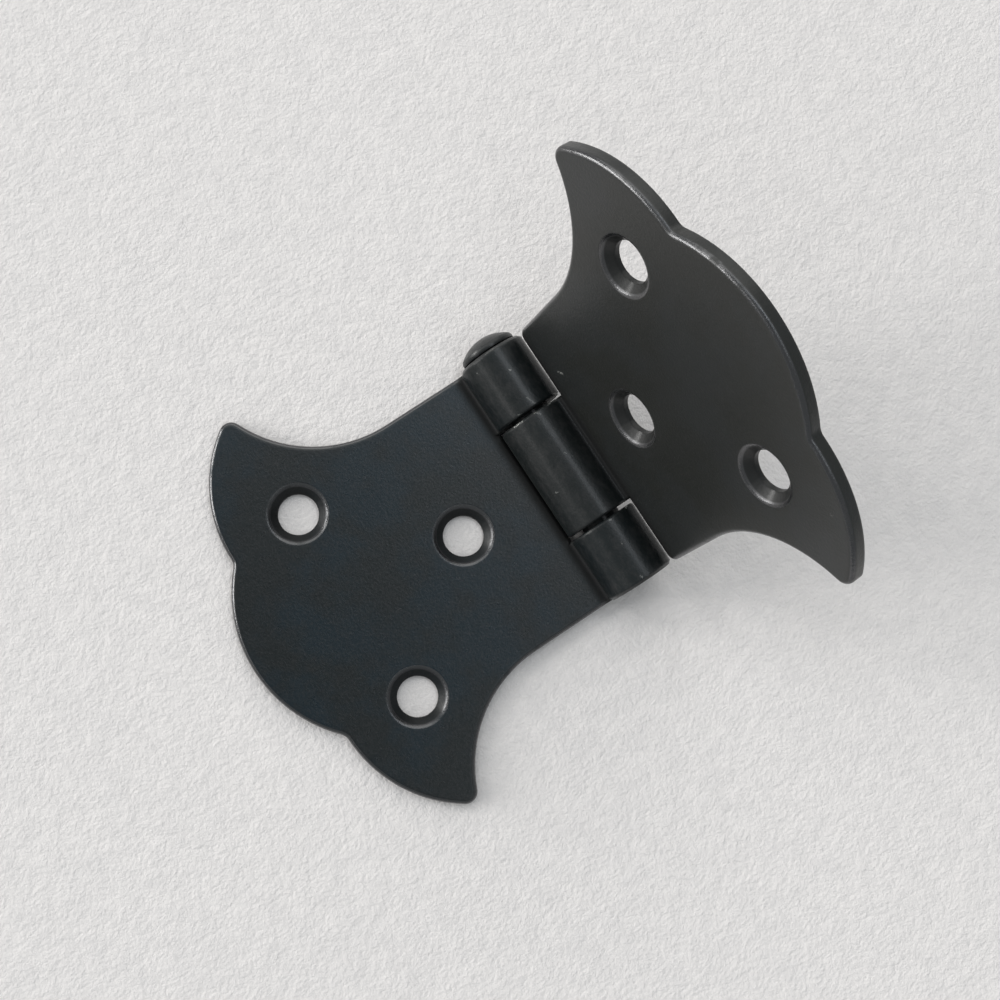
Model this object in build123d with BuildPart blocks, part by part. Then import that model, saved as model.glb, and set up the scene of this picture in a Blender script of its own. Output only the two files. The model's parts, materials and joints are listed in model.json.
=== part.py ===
from build123d import *
from math import acos, atan2, cos, degrees, hypot, isclose, radians, sin, sqrt
import os

# Butterfly hinge: two scalloped leaves stamped from steel sheet, their knuckles rolled
# round one headed pin. Millimetres and degrees. The origin is on the pin's axis, halfway
# along the barrel. +Y runs along the pin towards its head, and +Z is up. The left leaf
# lies flat towards -X, its countersunk side up, and the right leaf is swung up.

# Sheet, pin and barrel
sheet = 1.5
pin_diameter = 4.2
pin_clearance = 0.05
strip_width = 27.8
middle_knuckle = 12.45
knuckle_gap = 0.4
gap_edge_chamfer = 0.2
barrel_end_chamfer = 0.3
root_bend = 0.5
seam_gap = 0.12

# Leaf outline, with insets measured back from the leaf's far edge
leaf_reach = 37.5
flare_inset = 24.8
flare_radius = 13.7
tip_round = 1.25
side_lobe_inset = 18.7
side_lobe_across = 10.8
side_lobe_radius = 14.55
middle_lobe_radius = 15.0
cusp_round = 1.2
notch_clearance = 0.3
notch_corner_round = 1.0
edge_round = 0.5

# Screw holes
screw_hole_diameter = 4.2
countersink_diameter = 6.1
countersink_angle = 90
countersink_lip_chamfer = 0.14
inner_hole_from_axis = 12.3
outer_hole_inset = 12.3
outer_hole_across = 11.1

# Pin head and pin end
head_diameter = 5.95
head_rim = 0.45
head_dome = 1.15
head_rim_chamfer = 0.15
head_standoff = 0.2
pin_end_recess = 0.6
pin_end_chamfer = 0.4

# How far the right leaf is swung up from lying open and flat
swing_up = 70

# The bore is cut to the pin, and the barrel is the sheet wrapped round the bore
pin_radius = pin_diameter / 2
bore_radius = pin_radius + pin_clearance
barrel_radius = bore_radius + sheet

# A leaf's back face is level with the bottom of the barrel, so its front is this high
front_height = sheet - barrel_radius

# The sheet rises from the leaf's front on a small bend that runs tangent into the barrel
bend_height = front_height + root_bend
bend_from_axis = sqrt((barrel_radius + root_bend) ** 2 - bend_height**2)
bend_angle = degrees(atan2(bend_height, bend_from_axis))

# The curl goes over the top and round underneath, and stops just short of its own root
root_reach = barrel_radius + root_bend
seam_reach = root_bend + sheet + seam_gap
seam_cosine = (barrel_radius**2 + root_reach**2 - seam_reach**2) / (2 * barrel_radius * root_reach)
curl_sweep = 360 - degrees(acos(seam_cosine))

# A leaf's edge opposite the other leaf's knuckle clears the barrel at every angle
notch_from_axis = sqrt((barrel_radius + notch_clearance) ** 2 - front_height**2)

# Knuckle spans along the barrel, as low and high ends
half_strip = strip_width / 2
half_middle = middle_knuckle / 2
half_notch = half_middle + knuckle_gap
left_knuckles = [(-half_strip, -half_notch), (half_notch, half_strip)]
right_knuckles = [(-half_middle, half_middle)]

# Each leaf's own plane: X runs out along the leaf, Y along the pin, Z out of its front
left_plane = Plane.XY.rotated((0, 0, 180))
right_plane = Plane.XY.rotated((0, -swing_up, 0))


def crossing(centre_a, radius_a, centre_b, radius_b):
    """Where two circles cross, at the point further out along the leaf."""
    along_x = centre_b[0] - centre_a[0]
    along_y = centre_b[1] - centre_a[1]
    apart = hypot(along_x, along_y)
    foot = (radius_a**2 - radius_b**2 + apart**2) / (2 * apart)
    rise = sqrt(radius_a**2 - foot**2)
    foot_x = centre_a[0] + foot * along_x / apart
    foot_y = centre_a[1] + foot * along_y / apart
    step_x = -rise * along_y / apart
    step_y = rise * along_x / apart
    return max((foot_x + step_x, foot_y + step_y), (foot_x - step_x, foot_y - step_y))


def arc_about(centre, radius, start, end):
    """The shorter arc about a centre that runs from one point to another."""
    start_angle = atan2(start[1] - centre[1], start[0] - centre[0])
    end_angle = atan2(end[1] - centre[1], end[0] - centre[0])
    turn = (end_angle - start_angle + radians(180)) % radians(360) - radians(180)
    mid_angle = start_angle + turn / 2
    middle = (centre[0] + radius * cos(mid_angle), centre[1] + radius * sin(mid_angle))
    return ThreePointArc(start, middle, end)


def leaf_outline(plane, knuckles):
    """The scalloped outline of a leaf, before its root is cut away for its knuckles."""
    flare_start = (leaf_reach - flare_inset, half_strip)
    flare_centre = (leaf_reach - flare_inset, half_strip + flare_radius)
    side_centre = (leaf_reach - side_lobe_inset, side_lobe_across)
    middle_centre = (leaf_reach - middle_lobe_radius, 0)
    tip = crossing(flare_centre, flare_radius, side_centre, side_lobe_radius)
    cusp = crossing(side_centre, side_lobe_radius, middle_centre, middle_lobe_radius)
    root_corner = (notch_from_axis, half_strip)
    with BuildSketch(plane) as outline:
        with BuildLine():
            Polyline((notch_from_axis, 0), root_corner, flare_start)
            arc_about(flare_centre, flare_radius, flare_start, tip)
            arc_about(side_centre, side_lobe_radius, tip, cusp)
            arc_about(middle_centre, middle_lobe_radius, cusp, (leaf_reach, 0))
            mirror(about=Plane.XZ)
        make_face()
        rounds = [(tip, tip_round), (cusp, cusp_round)]
        ends_are_notched = knuckles[-1][1] < half_strip
        if ends_are_notched:
            rounds.append((root_corner, notch_corner_round))
        for point, radius in rounds:
            for side in (1, -1):
                corner = outline.vertices().sort_by_distance((point[0], side * point[1]))[0]
                fillet(corner, radius)
    return outline.sketch


def knuckle_places(plane, knuckles):
    """The parts of a leaf's root that are rolled into its knuckles."""
    with BuildSketch(plane) as places:
        for low, high in knuckles:
            with Locations((0, (low + high) / 2)):
                Rectangle(2 * bend_from_axis, high - low)
    return places.sketch


def stamp_flat(leaf, plane, knuckles):
    """The flat of the leaf being built, its front rim eased, as far as its knuckles."""
    back_plane = plane.offset(-barrel_radius)
    extrude(leaf_outline(back_plane, knuckles), amount=sheet)
    front = leaf.faces().sort_by(Axis(plane.origin, plane.z_dir))[-1]
    fillet(front.edges(), edge_round)
    extrude(knuckle_places(back_plane, knuckles), amount=sheet, mode=Mode.SUBTRACT)


def drill_screw_holes(leaf, plane):
    """Countersunk holes through the flat of the leaf being built, their lips broken."""
    outer_from_axis = leaf_reach - outer_hole_inset
    screw_points = [
        (inner_hole_from_axis, 0),
        (outer_from_axis, outer_hole_across),
        (outer_from_axis, -outer_hole_across),
    ]
    with Locations(plane.offset(front_height)):
        with Locations(*screw_points):
            CounterSinkHole(
                screw_hole_diameter / 2,
                countersink_diameter / 2,
                depth=sheet,
                counter_sink_angle=countersink_angle,
            )
    circles = leaf.edges().filter_by(GeomType.CIRCLE)
    lips = circles.filter_by(lambda edge: isclose(edge.radius, countersink_diameter / 2))
    chamfer(lips, countersink_lip_chamfer)


def strip_section(plane, low, high):
    """The sheet's section across a knuckle, its outer edges broken."""
    with BuildSketch(plane) as section:
        with Locations((bore_radius + sheet / 2, (low + high) / 2)):
            Rectangle(sheet, high - low)
        for end in (0, -1):
            corner = section.vertices().group_by(Axis.X)[-1].sort_by(Axis.Y)[end]
            at_barrel_end = isclose(abs(corner.Y), half_strip)
            chamfer(corner, barrel_end_chamfer if at_barrel_end else gap_edge_chamfer)
    return section.sketch


def roll_knuckle(plane, low, high):
    """One knuckle of the leaf being built: the sheet bent up at its root, then curled."""
    pin_axis = Axis(plane.origin, -plane.y_dir)
    bend_axis = Axis(plane.from_local_coords((bend_from_axis, 0, bend_height)), -plane.y_dir)
    to_bend = plane.x_dir.rotate(pin_axis, bend_angle)
    curl_start = Plane(plane.origin, x_dir=to_bend, z_dir=to_bend.cross(plane.y_dir))
    section = strip_section(curl_start, low, high)
    revolve(section, axis=bend_axis, revolution_arc=90 - bend_angle)
    revolve(section, axis=pin_axis, revolution_arc=curl_sweep)


# Left leaf: lies flat, and carries the two outer knuckles
with BuildPart() as left_leaf:
    stamp_flat(left_leaf, left_plane, left_knuckles)
    drill_screw_holes(left_leaf, left_plane)
    for low, high in left_knuckles:
        roll_knuckle(left_plane, low, high)

# Right leaf: swung up about the pin, and carries the middle knuckle
with BuildPart() as right_leaf:
    stamp_flat(right_leaf, right_plane, right_knuckles)
    drill_screw_holes(right_leaf, right_plane)
    for low, high in right_knuckles:
        roll_knuckle(right_plane, low, high)

# The pin's profile: its shank stops inside the barrel, and its head stands just proud of it
shank_end = pin_end_recess - half_strip
head_seat = half_strip + head_standoff
rim_top = head_seat + head_rim
dome_top = rim_top + head_dome
head_radius = head_diameter / 2
dome_radius = (head_radius**2 + head_dome**2) / (2 * head_dome)

# Pin: a plain shank through all three knuckles, under a low domed head
with BuildPart() as hinge_pin:
    with BuildSketch(Plane.XY) as half_pin:
        with BuildLine():
            Polyline(
                (0, shank_end),
                (pin_radius, shank_end),
                (pin_radius, head_seat),
                (head_radius, head_seat),
                (head_radius, rim_top),
            )
            arc_about((0, dome_top - dome_radius), dome_radius, (head_radius, rim_top), (0, dome_top))
            Line((0, dome_top), (0, shank_end))
        make_face()
        chamfer(half_pin.vertices().group_by(Axis.X)[-1].sort_by(Axis.Y)[-1], head_rim_chamfer)
        chamfer(half_pin.vertices().group_by(Axis.Y)[0].sort_by(Axis.X)[-1], pin_end_chamfer)
    revolve(axis=Axis.Y)

left_leaf.part.label = "left_leaf"
right_leaf.part.label = "right_leaf"
hinge_pin.part.label = "hinge_pin"

os.makedirs("parts", exist_ok=True)
export_step(left_leaf.part, "parts/left_leaf.step")
export_step(right_leaf.part, "parts/right_leaf.step")
export_step(hinge_pin.part, "parts/hinge_pin.step")
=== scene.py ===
import json
from math import cos, pi, radians, sin, tan

import bpy
from mathutils import Matrix, Vector


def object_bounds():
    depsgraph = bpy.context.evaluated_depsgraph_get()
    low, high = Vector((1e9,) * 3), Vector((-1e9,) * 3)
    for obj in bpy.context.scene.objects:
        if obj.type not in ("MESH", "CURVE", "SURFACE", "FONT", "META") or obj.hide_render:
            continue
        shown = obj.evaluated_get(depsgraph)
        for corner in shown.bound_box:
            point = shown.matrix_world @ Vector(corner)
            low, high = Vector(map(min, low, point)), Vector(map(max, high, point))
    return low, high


# A butterfly hinge in worn satin black, lying on a pale textured surface.
# Lengths are millimetres, turned into Blender's metres by MM, and angles are degrees.
# A heading is an angle on the ground from +X towards +Y.
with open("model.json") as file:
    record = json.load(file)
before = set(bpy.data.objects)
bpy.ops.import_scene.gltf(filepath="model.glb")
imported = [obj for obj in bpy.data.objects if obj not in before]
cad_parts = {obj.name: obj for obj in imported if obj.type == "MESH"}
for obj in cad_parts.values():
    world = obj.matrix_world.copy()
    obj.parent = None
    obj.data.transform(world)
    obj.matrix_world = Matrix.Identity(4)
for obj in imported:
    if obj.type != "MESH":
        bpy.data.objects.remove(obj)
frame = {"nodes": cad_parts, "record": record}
cad_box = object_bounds()
mounts = {mount["name"]: mount for mount in frame["record"]["mounts"]}
ground_height = cad_box[0][2]
MM = 0.001

# The photograph's view
CAMERA_AT = (-24.48, -6.15, 156.17)
CAMERA_TARGET = (-7.42, 0.89, 0.0)
PICTURE_UP_HEADING = 56.41
SENSOR = 36.0
LENS = 55.93

# The barrel rests on the ground, and its knuckles' broken edges are this far along the pin
BARREL_RADIUS = -ground_height / MM
MIDDLE_END = 6.12
OUTER_END = 6.73
BARREL_END = 13.8

# The screw holes, and the lips of their countersinks as the middle of the broken edge and its half width
SCREW_HOLES = ("inner", "head_end", "plain_end")
LIP_RADIUS = 2.98
LIP_HALF = 0.12

# Colours of the coat, the bare steel and the ground, some of which stand for painted light
# The two leaves share one coat. The flat leaf's blue-black is a painted reflection of the cool sky, and the
# raised leaf's lighter blacks are a painted reflection of the floor
BLUE_BLACK = (0.0022, 0.0098, 0.0150, 1.0)
SOOT_BLACK = (0.0042, 0.0068, 0.0072, 1.0)
BROWN_BLACK = (0.0150, 0.0160, 0.0142, 1.0)
GREY_BLACK = (0.0172, 0.0190, 0.0186, 1.0)
# The deepest black is painted shade, for the creases, the knuckles' roots and the inside of the
# countersinks
PAINTED_SHADE_BLACK = (0.0035, 0.0040, 0.0040, 1.0)
RUBBED = (0.026, 0.025, 0.025, 1.0)
DARK_METAL = (0.105, 0.105, 0.108, 1.0)
BARE_STEEL = (0.56, 0.56, 0.53, 1.0)
PALE_GROUND = (0.900, 0.862, 0.845, 1.0)
GREY_GROUND = (0.846, 0.812, 0.799, 1.0)

# Noises: how large their lumps are, how many finer octaves they have, and how strong those are
MOTTLE = (9.0, 4.0, 0.6)
FLECK = (0.28, 3.0, 0.7)
RUB = (0.8, 6.0, 0.85)
GLOSS = (1.2, 4.0, 0.6)
POLISH = (2.5, 4.0, 0.6)
RAGGED = (0.14, 3.0, 0.7)
COAT_GRAIN = (0.26, 3.0, 0.7)
GROUND_BLOTCH = (2.0, 4.0, 0.6)
GROUND_GRAIN = (0.40, 3.0, 0.60)
GROUND_LUMPS = (1.00, 2.0, 0.50)
NOISE_MIDDLE = 0.5

# Where each noise, or how open a place is, fades in or out
MOTTLE_FADE = (0.40, 0.60)
FLECK_FADE = (0.42, 0.75)
RUB_FADE = (0.42, 0.66)
POLISH_FADE = (0.20, 0.50)
BLOTCH_FADE = (0.3, 0.7)
CREASE_FADE = (0.72, 0.45)

# Fades by the distance out from the barrel's surface
ROLL_FADE = (0.12, 0.02)
ROOT_NEAR_FADE = (0.03, 0.10)
ROOT_FAR_FADE = (1.60, 0.80)
RIM_START_FADE = (0.6, 1.2)

# Fades by how a surface faces: 1 the way a leaf's front does, 0 sideways and -1 the way its back does
FLAT_FRONT_FADE = (0.985, 0.90)
SIDEWAYS_FADE = (0.10, 0.45)
BACK_FADE = (-0.8, -0.5)

# How strongly each kind of wear tints the coat, and how dark the painted shade inside the countersinks is
FLECK_TINT = 0.40
SOOT_TINT = 0.85
RUB_TINT = 0.45
COUNTERSINK_SHADE = 0.70
LIP_POLISH = 0.90
CHIP_METAL = 0.7

# How rough the coat is, and what dulls it or shines it
LEFT_ROUGHNESS = 0.24
RIGHT_ROUGHNESS = 0.29
PIN_ROUGHNESS = 0.29
GLOSS_SPREAD = 0.10
ROLL_DULLING = 0.03
RUB_DULLING = 0.16
CREASE_DULLING = 0.45
COUNTERSINK_DULLING = 0.15
POLISH_SHINE = -0.13
COAT_SPECULAR = 0.36
TOP_COAT = 0.25
TOP_COAT_ROUGHNESS = 0.20

# Sizes of the fine detail: a rub mark's stretch along the barrel, creases, soft edges, ragged chips, grain
RUB_STRETCH = (1.0, 1.8, 1.0)
CREASE_REACH = 1.2
CREASE_SAMPLES = 8
EDGE_SOFTNESS = 0.30
EDGE_SAMPLES = 6
CHIP_WANDER = 0.6
CHIP_CORE = 0.3
COAT_GRAIN_DEPTH = 0.05
COAT_GRAIN_STRENGTH = 0.6

# The ground
FLOOR_HALF = 1500.0
FLOOR_CORNERS = ((-1, -1), (1, -1), (1, 1), (-1, 1))
GROUND_ROUGHNESS = 0.90
GROUND_SPECULAR = 0.05
GROUND_GRAIN_DEPTH = 0.155
GROUND_GRAIN_STRENGTH = 0.8

# The lamps: heading, elevation, half width and half height as seen from the hinge, radiance and colour
WINDOW_LIGHT = (1.0, 0.99, 0.97)
WALL_LIGHT = (1.0, 0.98, 0.96)
SKY_LIGHT = (0.88, 0.94, 1.0)
CEILING_LIGHT = (0.90, 0.96, 1.0)
ROOM_LIGHT = (1.0, 0.99, 0.96)
LAMP_DISTANCE = 8000.0
LAMPS = {
    "window": (146, 19, 9, 11, 10.5, WINDOW_LIGHT),
    "window_side": (127, 9, 9, 8, 12.0, WINDOW_LIGHT),
    "window_top": (118, 36, 7, 8, 6.0, WINDOW_LIGHT),
    "bright_wall": (168, 33, 9, 8, 1.4, WALL_LIGHT),
    "overhead": (18, 70, 10, 10, 3.4, SKY_LIGHT),
    "low_sky": (285, 74, 8, 8, 1.6, CEILING_LIGHT),
    "ceiling": (98, 69, 9, 10, 1.2, CEILING_LIGHT),
    "room_glow": (60, 36, 34, 28, 1.15, ROOM_LIGHT),
}

# The room's even light, and the shaded patch overhead with the half angles that it fades out between
ROOM_COLOUR = (0.93, 0.98, 1.0, 1.0)
ROOM_STRENGTH = 0.36
SHADE_COLOUR = (0.22, 0.27, 0.30, 1.0)
SHADE_TOWARDS = (0.01, 0.03, 1.0)
SHADE_INNER = 5
SHADE_OUTER = 17


def leaf_front(side):
    """The way a leaf's front faces."""
    return -Vector(mounts[f"{side}_leaf_back"]["axis"])


def on_barrel(angle, along):
    """A place on the barrel: degrees round from +X over the top, and how far along the pin."""
    return Vector((BARREL_RADIUS * cos(radians(angle)), along, BARREL_RADIUS * sin(radians(angle))))


def on_raised_leaf(out, along, rise):
    """A place on the raised leaf: how far out from the pin, along it, and to the leaf's front."""
    front = leaf_front("right")
    outwards = Vector((front.z, 0.0, -front.x))
    return outwards * out + front * rise + Vector((0.0, along, 0.0))


# Where the coat is chipped or rubbed through, with two marks that are partly painted highlight: each mark's
# two ends, half width and strength
LEFT_LEAF_MARKS = [
    (on_barrel(135, 12.66), on_barrel(134, 12.54), 0.08, 0.28),
    # The next two marks lie on the barrel's highlight streak: lighter spots that are partly wear and partly
    # painted highlight
    (on_barrel(87, 11.10), on_barrel(86, 10.98), 0.07, 0.30),
    (on_barrel(88, 7.80), on_barrel(83, 6.90), 0.10, 0.14),
    (on_barrel(106, BARREL_END), on_barrel(80, BARREL_END), 0.16, 0.14),
    (on_barrel(116, 6.85), on_barrel(108, OUTER_END), 0.08, 0.22),
    (on_barrel(133, -OUTER_END), on_barrel(122, -OUTER_END), 0.07, 0.20),
    (on_barrel(87, -6.90), on_barrel(84, -7.02), 0.08, 0.25),
    (on_barrel(91, -9.42), on_barrel(92, -9.52), 0.07, 0.20),
    (on_barrel(95, -13.25), on_barrel(94, -13.40), 0.10, 0.25),
    (on_barrel(40, OUTER_END), on_barrel(5, OUTER_END), 0.12, 0.70),
    (on_barrel(50, -OUTER_END), on_barrel(5, -OUTER_END), 0.11, 0.70),
]
RIGHT_LEAF_MARKS = [
    (on_barrel(134, MIDDLE_END), on_barrel(116, MIDDLE_END), 0.10, 0.60),
    (on_barrel(92, MIDDLE_END), on_barrel(88, MIDDLE_END), 0.10, 0.40),
    (on_barrel(88, 5.95), on_barrel(85, 5.65), 0.10, 0.16),
    (on_barrel(87, 1.15), on_barrel(86, 1.00), 0.06, 0.22),
    (on_barrel(136, -1.65), on_barrel(132, -1.75), 0.07, 0.30),
    (on_barrel(66, MIDDLE_END), on_barrel(25, MIDDLE_END), 0.10, 0.50),
    (on_raised_leaf(5.76, 8.16, -2.01), on_raised_leaf(6.20, 7.76, -2.02), 0.19, 0.55),
    (on_raised_leaf(10.43, -6.60, -2.03), on_raised_leaf(10.55, -6.70, -2.05), 0.08, 0.18),
    (on_raised_leaf(30.05, -16.70, -2.09), on_raised_leaf(30.17, -16.85, -2.13), 0.10, 0.12),
]


def new_material(name):
    """An empty node material and its Principled shader."""
    material = bpy.data.materials.new(name)
    material.use_nodes = True
    nodes = material.node_tree.nodes
    nodes.clear()
    shader = nodes.new("ShaderNodeBsdfPrincipled")
    output = nodes.new("ShaderNodeOutputMaterial")
    material.node_tree.links.new(shader.outputs["BSDF"], output.inputs["Surface"])
    return material, shader


class Graph:
    """Short calls for building the nodes of a material or a world."""

    def __init__(self, owner):
        self.tree = owner.node_tree
        coordinates = self.tree.nodes.new("ShaderNodeTexCoord")
        self.place = coordinates.outputs["Object"]
        self.facing = coordinates.outputs["Normal"]
        self.direction = coordinates.outputs["Generated"]

    def link(self, value, socket):
        """Feeds a socket from another node's output or from a plain value."""
        if isinstance(value, bpy.types.NodeSocket):
            self.tree.links.new(value, socket)
        else:
            socket.default_value = value

    def math(self, operation, first, second=0.0, clamp=False):
        """A sum, product or other operation on two numbers."""
        node = self.tree.nodes.new("ShaderNodeMath")
        node.operation = operation
        node.use_clamp = clamp
        self.link(first, node.inputs[0])
        self.link(second, node.inputs[1])
        return node.outputs[0]

    def times(self, first, second):
        """The product of two numbers."""
        return self.math("MULTIPLY", first, second)

    def plus_share(self, value, mask, amount):
        """A number with an amount added where the mask is."""
        return self.math("ADD", value, self.times(mask, amount))

    def vector(self, operation, first, second, output="Vector"):
        """An operation on two vectors."""
        node = self.tree.nodes.new("ShaderNodeVectorMath")
        node.operation = operation
        self.link(first, node.inputs[0])
        self.link(second, node.inputs[1])
        return node.outputs[output]

    def scaled(self, direction, amount):
        """A fixed direction stretched by an amount."""
        node = self.tree.nodes.new("ShaderNodeVectorMath")
        node.operation = "SCALE"
        node.inputs[0].default_value = direction
        self.link(amount, node.inputs["Scale"])
        return node.outputs["Vector"]

    def noise(self, feature, detail, roughness, stretch=None):
        """Noise whose lumps are about that many millimetres across, drawn out by stretch."""
        node = self.tree.nodes.new("ShaderNodeTexNoise")
        node.inputs["Scale"].default_value = 1.0 / (feature * MM)
        node.inputs["Detail"].default_value = detail
        node.inputs["Roughness"].default_value = roughness
        place = self.vector("DIVIDE", self.place, stretch) if stretch else self.place
        self.link(place, node.inputs["Vector"])
        return node.outputs["Fac"]

    def band(self, value, low, high):
        """0 below low and 1 above high, or the other way round if low is above high."""
        node = self.tree.nodes.new("ShaderNodeMapRange")
        node.interpolation_type = "SMOOTHSTEP"
        self.link(value, node.inputs["Value"])
        rising = low < high
        node.inputs["From Min"].default_value = min(low, high)
        node.inputs["From Max"].default_value = max(low, high)
        node.inputs["To Min"].default_value = 0.0 if rising else 1.0
        node.inputs["To Max"].default_value = 1.0 if rising else 0.0
        return node.outputs["Result"]

    def mix(self, amount, first, second):
        """A colour between two colours."""
        node = self.tree.nodes.new("ShaderNodeMix")
        node.data_type = "RGBA"
        self.link(amount, node.inputs["Factor"])
        self.link(first, node.inputs["A"])
        self.link(second, node.inputs["B"])
        return node.outputs["Result"]

    def past_barrel(self, low, high):
        """A band by how far a place is out from the barrel's surface, in millimetres."""
        flattened = self.vector("MULTIPLY", self.place, (1.0, 0.0, 1.0))
        from_pin = self.vector("LENGTH", flattened, (0.0, 0.0, 0.0), "Value")
        return self.band(from_pin, (BARREL_RADIUS + low) * MM, (BARREL_RADIUS + high) * MM)

    def from_line(self, start, end):
        """How far a place is from the line between two points, all in metres."""
        run = end - start
        offset = self.vector("SUBTRACT", self.place, start)
        share = self.vector("DOT_PRODUCT", offset, run / run.length_squared, "Value")
        nearest = self.scaled(run, self.math("ADD", share, 0.0, clamp=True))
        return self.vector("DISTANCE", offset, nearest, "Value")

    def soft_normal(self):
        """The surface's normal, rounded over its sharp edges."""
        bevel = self.tree.nodes.new("ShaderNodeBevel")
        bevel.samples = EDGE_SAMPLES
        bevel.inputs["Radius"].default_value = EDGE_SOFTNESS * MM
        return bevel.outputs["Normal"]

    def crease(self):
        """1 deep in a crease, and 0 in the open: the mask for painted shade and for duller gloss."""
        node = self.tree.nodes.new("ShaderNodeAmbientOcclusion")
        node.samples = CREASE_SAMPLES
        node.inputs["Distance"].default_value = CREASE_REACH * MM
        return self.band(node.outputs["AO"], *CREASE_FADE)

    def bump(self, height, depth, strength, normal=None):
        """The surface's normal, tilted by a grain of that depth in millimetres."""
        node = self.tree.nodes.new("ShaderNodeBump")
        node.inputs["Strength"].default_value = strength
        node.inputs["Distance"].default_value = depth * MM
        self.link(height, node.inputs["Height"])
        if normal:
            self.link(normal, node.inputs["Normal"])
        return node.outputs["Normal"]


def leaf_masks(graph, side):
    """Two masks of a leaf: its rounded rim with its countersinks' lips, and its countersinks' inside, which
    takes painted shade.
    """
    front = leaf_front(side)
    facing = graph.vector("DOT_PRODUCT", graph.facing, front, "Value")
    rounded = graph.times(graph.band(facing, *FLAT_FRONT_FADE), graph.band(facing, *SIDEWAYS_FADE))
    from_hole = None
    for hole in SCREW_HOLES:
        centre = Vector(mounts[f"{side}_{hole}_screw"]["pos_m"])
        half_line = front * LIP_RADIUS * MM
        reach = graph.from_line(centre - half_line, centre + half_line)
        from_hole = graph.math("MINIMUM", from_hole, reach) if from_hole else reach
    not_back = graph.band(facing, *BACK_FADE)
    outside = graph.band(from_hole, (LIP_RADIUS - LIP_HALF) * MM, LIP_RADIUS * MM)
    inside = graph.times(graph.math("SUBTRACT", 1.0, outside), not_back)
    rim = graph.times(graph.times(rounded, graph.past_barrel(*RIM_START_FADE)), outside)
    from_lip = graph.math("ABSOLUTE", graph.math("SUBTRACT", from_hole, LIP_RADIUS * MM))
    lip = graph.times(graph.band(from_lip, 2 * LIP_HALF * MM, LIP_HALF * MM), not_back)
    return graph.math("MAXIMUM", rim, graph.times(lip, LIP_POLISH)), inside


def worn_through(graph, marks):
    """How bare the steel is in chips and rubbed marks with ragged outlines, two of which are partly painted
    highlight.
    """
    bare = 0.0
    wander = graph.times(graph.math("SUBTRACT", graph.noise(*RAGGED), NOISE_MIDDLE), CHIP_WANDER * MM)
    for start, end, half_width, strength in marks:
        reach = graph.math("ADD", graph.from_line(start * MM, end * MM), wander)
        chip = graph.band(reach, half_width * MM, CHIP_CORE * half_width * MM)
        bare = graph.math("MAXIMUM", bare, graph.times(chip, strength))
    return bare


def satin_black(name, tints, roughness, side=None, marks=()):
    """Satin black coat on steel, mottled and finely grained, with painted shade in its creases. A leaf's
    also has its own wear and marks, and painted shade inside its countersinks.
    """
    material, shader = new_material(name)
    graph = Graph(material)

    # Mottled tint with a fine fleck, and painted shade darkening it down in the creases and where a knuckle
    # meets its leaf
    coat = graph.mix(graph.band(graph.noise(*MOTTLE), *MOTTLE_FADE), *tints)
    fleck = graph.band(graph.noise(*FLECK), *FLECK_FADE)
    coat = graph.mix(graph.times(fleck, FLECK_TINT), coat, RUBBED)
    knuckle_root_shade = graph.times(graph.past_barrel(*ROOT_NEAR_FADE), graph.past_barrel(*ROOT_FAR_FADE))
    crease = graph.math("MAXIMUM", graph.crease(), knuckle_root_shade)
    coat = graph.mix(crease, coat, PAINTED_SHADE_BLACK)

    # The barrel is sooty, and rubbed by the fingers to a softer, uneven grey
    on_roll = graph.past_barrel(*ROLL_FADE)
    coat = graph.mix(graph.times(on_roll, SOOT_TINT), coat, SOOT_BLACK)
    rub = graph.times(graph.band(graph.noise(*RUB, RUB_STRETCH), *RUB_FADE), on_roll)
    coat = graph.mix(graph.times(rub, RUB_TINT), coat, RUBBED)

    # Gloss varies from place to place, and is duller where the coat is rubbed or creased
    rough = graph.plus_share(roughness, graph.noise(*GLOSS), GLOSS_SPREAD)
    rough = graph.plus_share(rough, on_roll, ROLL_DULLING)
    rough = graph.plus_share(rough, rub, RUB_DULLING)
    rough = graph.plus_share(rough, crease, CREASE_DULLING)

    # A leaf's countersinks are dull inside and darkened by painted shade, its rims polished to dark metal
    # by handling, its chips bare
    if side:
        rims, countersinks = leaf_masks(graph, side)
        coat = graph.mix(graph.times(countersinks, COUNTERSINK_SHADE), coat, PAINTED_SHADE_BLACK)
        polish = graph.times(rims, graph.band(graph.noise(*POLISH), *POLISH_FADE))
        coat = graph.mix(polish, coat, DARK_METAL)
        bare = worn_through(graph, marks)
        coat = graph.mix(bare, coat, BARE_STEEL)
        rough = graph.plus_share(rough, countersinks, COUNTERSINK_DULLING)
        rough = graph.plus_share(rough, polish, POLISH_SHINE)
        metal = graph.math("MAXIMUM", polish, graph.times(bare, CHIP_METAL))
        graph.link(metal, shader.inputs["Metallic"])

    graph.link(coat, shader.inputs["Base Color"])
    graph.link(rough, shader.inputs["Roughness"])
    shader.inputs["Specular IOR Level"].default_value = COAT_SPECULAR
    shader.inputs["Coat Weight"].default_value = TOP_COAT
    shader.inputs["Coat Roughness"].default_value = TOP_COAT_ROUGHNESS
    grain = graph.noise(*COAT_GRAIN)
    normal = graph.bump(grain, COAT_GRAIN_DEPTH, COAT_GRAIN_STRENGTH, graph.soft_normal())
    graph.link(normal, shader.inputs["Normal"])
    return material


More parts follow.
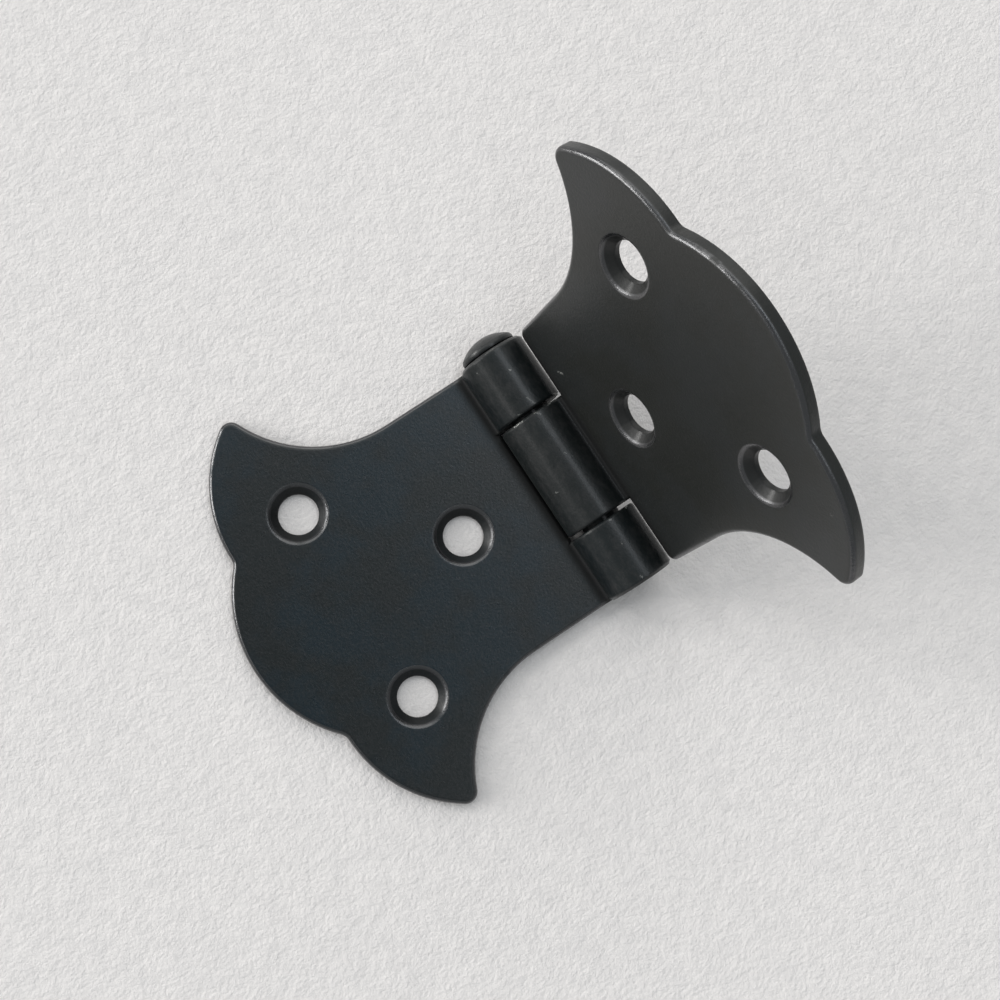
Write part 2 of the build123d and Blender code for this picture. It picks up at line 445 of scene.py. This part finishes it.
def pale_ground():
    """A pale matt surface, faintly blotched, with a fine soft grain."""
    material, shader = new_material("pale_floor")
    graph = Graph(material)
    blotch = graph.band(graph.noise(*GROUND_BLOTCH), *BLOTCH_FADE)
    graph.link(graph.mix(blotch, PALE_GROUND, GREY_GROUND), shader.inputs["Base Color"])
    shader.inputs["Roughness"].default_value = GROUND_ROUGHNESS
    shader.inputs["Specular IOR Level"].default_value = GROUND_SPECULAR
    grain = graph.math("ADD", graph.noise(*GROUND_GRAIN), graph.noise(*GROUND_LUMPS))
    normal = graph.bump(grain, GROUND_GRAIN_DEPTH, GROUND_GRAIN_STRENGTH)
    graph.link(normal, shader.inputs["Normal"])
    return material


def paint(node, material):
    """Puts a material on every slot of a CAD node's object."""
    for slot in frame["nodes"][node].material_slots:
        slot.material = material


def add_floor():
    """The surface that the hinge lies on."""
    mesh = bpy.data.meshes.new("floor")
    half = FLOOR_HALF * MM
    corners = [(x * half, y * half, ground_height) for x, y in FLOOR_CORNERS]
    mesh.from_pydata(corners, [], [range(len(corners))])
    mesh.materials.append(pale_ground())
    floor = bpy.data.objects.new("floor", mesh)
    bpy.context.scene.collection.objects.link(floor)


def add_lamp(name, heading, elevation, half_width, half_height, radiance, colour):
    """An oval soft box that fills those half angles of the hinge's view, whatever its distance."""
    lamp = bpy.data.lights.new(name, "AREA")
    lamp.shape = "ELLIPSE"
    distance = LAMP_DISTANCE * MM
    lamp.size = 2 * distance * tan(radians(half_width))
    lamp.size_y = 2 * distance * tan(radians(half_height))
    area = pi * lamp.size * lamp.size_y / 4
    lamp.energy = radiance * pi * area
    lamp.color = colour
    across = radians(heading)
    rise = radians(elevation)
    aim = Vector((cos(across) * cos(rise), sin(across) * cos(rise), sin(rise)))
    holder = bpy.data.objects.new(name, lamp)
    holder.location = aim * distance
    holder.rotation_euler = aim.to_track_quat("Z", "Y").to_euler()
    bpy.context.scene.collection.objects.link(holder)


def add_world():
    """Even pale light from all round, with a softly shaded patch overhead."""
    world = bpy.data.worlds.new("room")
    world.use_nodes = True
    background = world.node_tree.nodes["Background"]
    graph = Graph(world)
    towards = Vector(SHADE_TOWARDS).normalized()
    lean = graph.vector("DOT_PRODUCT", graph.direction, towards, "Value")
    shade = graph.band(lean, cos(radians(SHADE_OUTER)), cos(radians(SHADE_INNER)))
    graph.link(graph.mix(shade, ROOM_COLOUR, SHADE_COLOUR), background.inputs["Color"])
    background.inputs["Strength"].default_value = ROOM_STRENGTH
    bpy.context.scene.world = world


def add_camera():
    """The photograph's camera."""
    data = bpy.data.cameras.new("camera")
    data.sensor_width = SENSOR
    data.lens = LENS
    data.clip_start = MM
    camera = bpy.data.objects.new("camera", data)
    place = Vector(CAMERA_AT) * MM
    ahead = (Vector(CAMERA_TARGET) * MM - place).normalized()
    heading = radians(PICTURE_UP_HEADING)
    right = ahead.cross(Vector((cos(heading), sin(heading), 0.0))).normalized()
    up = right.cross(ahead)
    camera.matrix_world = Matrix.Translation(place) @ Matrix((right, up, -ahead)).transposed().to_4x4()
    bpy.context.scene.collection.objects.link(camera)
    bpy.context.scene.camera = camera


# The two leaves share one coat. Their tints differ by painted reflection: the cool sky's blue on the flat
# leaf, and the floor's lighter grey on the raised leaf
left_coat_and_sky_reflection_tints = (BLUE_BLACK, SOOT_BLACK)
right_coat_and_floor_reflection_tints = (BROWN_BLACK, GREY_BLACK)
pin_tints = (SOOT_BLACK, BROWN_BLACK)
paint("left_leaf", satin_black("left_leaf_coat_and_sky_reflection", left_coat_and_sky_reflection_tints, LEFT_ROUGHNESS, "left", LEFT_LEAF_MARKS))
paint("right_leaf", satin_black("right_leaf_coat_and_floor_reflection", right_coat_and_floor_reflection_tints, RIGHT_ROUGHNESS, "right", RIGHT_LEAF_MARKS))
paint("hinge_pin", satin_black("hinge_pin_coat", pin_tints, PIN_ROUGHNESS))

add_floor()
add_world()
for lamp_name, settings in LAMPS.items():
    add_lamp(lamp_name, *settings)
add_camera()
bpy.context.scene.view_settings.view_transform = "Standard"
